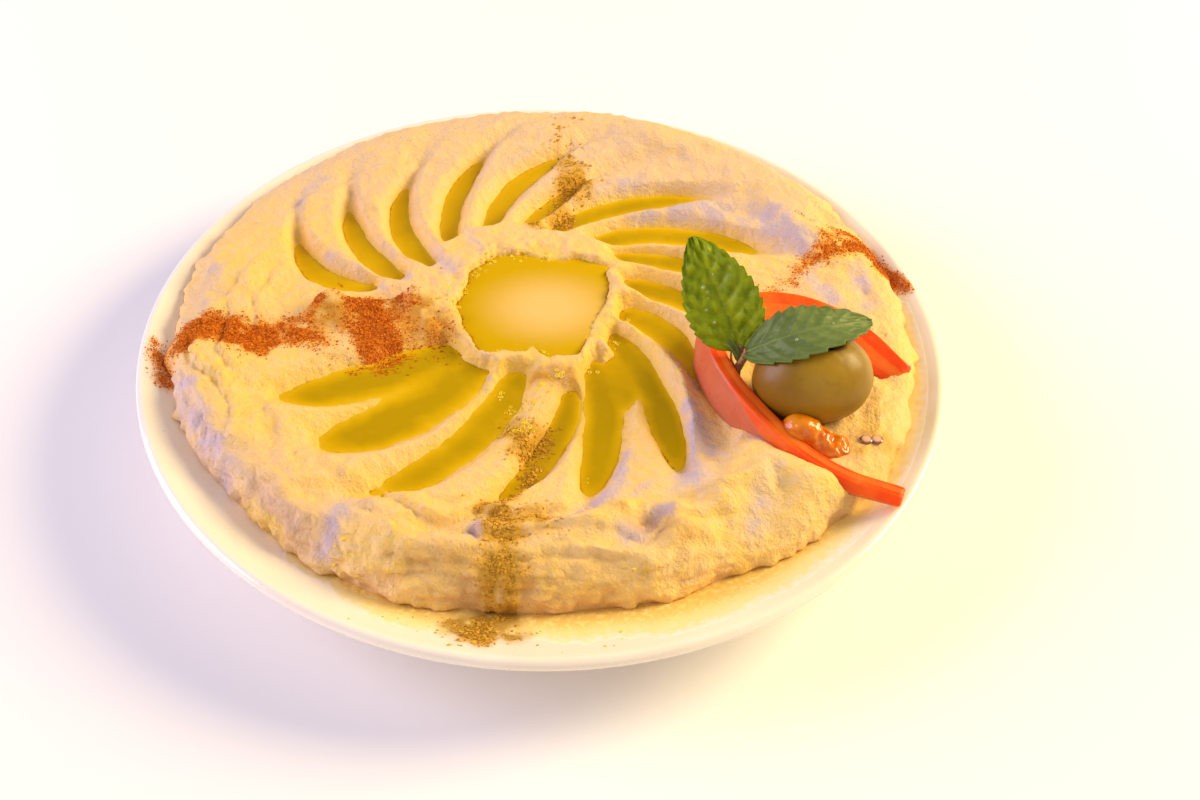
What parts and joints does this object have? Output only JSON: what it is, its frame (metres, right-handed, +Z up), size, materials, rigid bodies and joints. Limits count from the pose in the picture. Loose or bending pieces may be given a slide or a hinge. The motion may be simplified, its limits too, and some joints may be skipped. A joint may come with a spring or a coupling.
{
  "type": "plate of hummus",
  "caption": "Shallow round plate of hummus with a crater and a ring of spoon strokes filled with oil, topped with an olive, a curved tomato wedge and a mint sprig.",
  "frame": {"origin": "centre of the foot ring on the table, under the middle of the whole part", "axes": "+Z up from the table, -Y towards the near side where the hummus ends in a thick bank, +X towards the olive and tomato"},
  "size_m": [0.1798, 0.1798, 0.051],
  "materials": {
    "glaze": "glossy cream white glaze",
    "hummus": "matt, slightly moist paste",
    "oil": "wet golden green oil",
    "olive": "shiny green olive skin",
    "tomato": "wet tomato flesh and skin",
    "pulp": "wet translucent pulp",
    "mint": "satin leaf"
  },
  "bodies": {
    "root": {"plate": "glaze", "hummus": "hummus", "oil_crater": "oil", "oil_stroke_01": "oil", "oil_stroke_02": "oil", "oil_stroke_03": "oil", "oil_stroke_04": "oil", "oil_stroke_05": "oil", "oil_stroke_06": "oil", "oil_stroke_07": "oil", "oil_stroke_08": "oil", "oil_stroke_09": "oil", "oil_stroke_10": "oil", "oil_stroke_11": "oil", "oil_stroke_12_13": "oil", "oil_stroke_14": "oil", "oil_stroke_15": "oil", "oil_stroke_16_17": "oil", "olive": "olive", "tomato_wall": "tomato", "tomato_pulp": "pulp", "mint_sprig": "mint"}
  },
  "joints": []
}
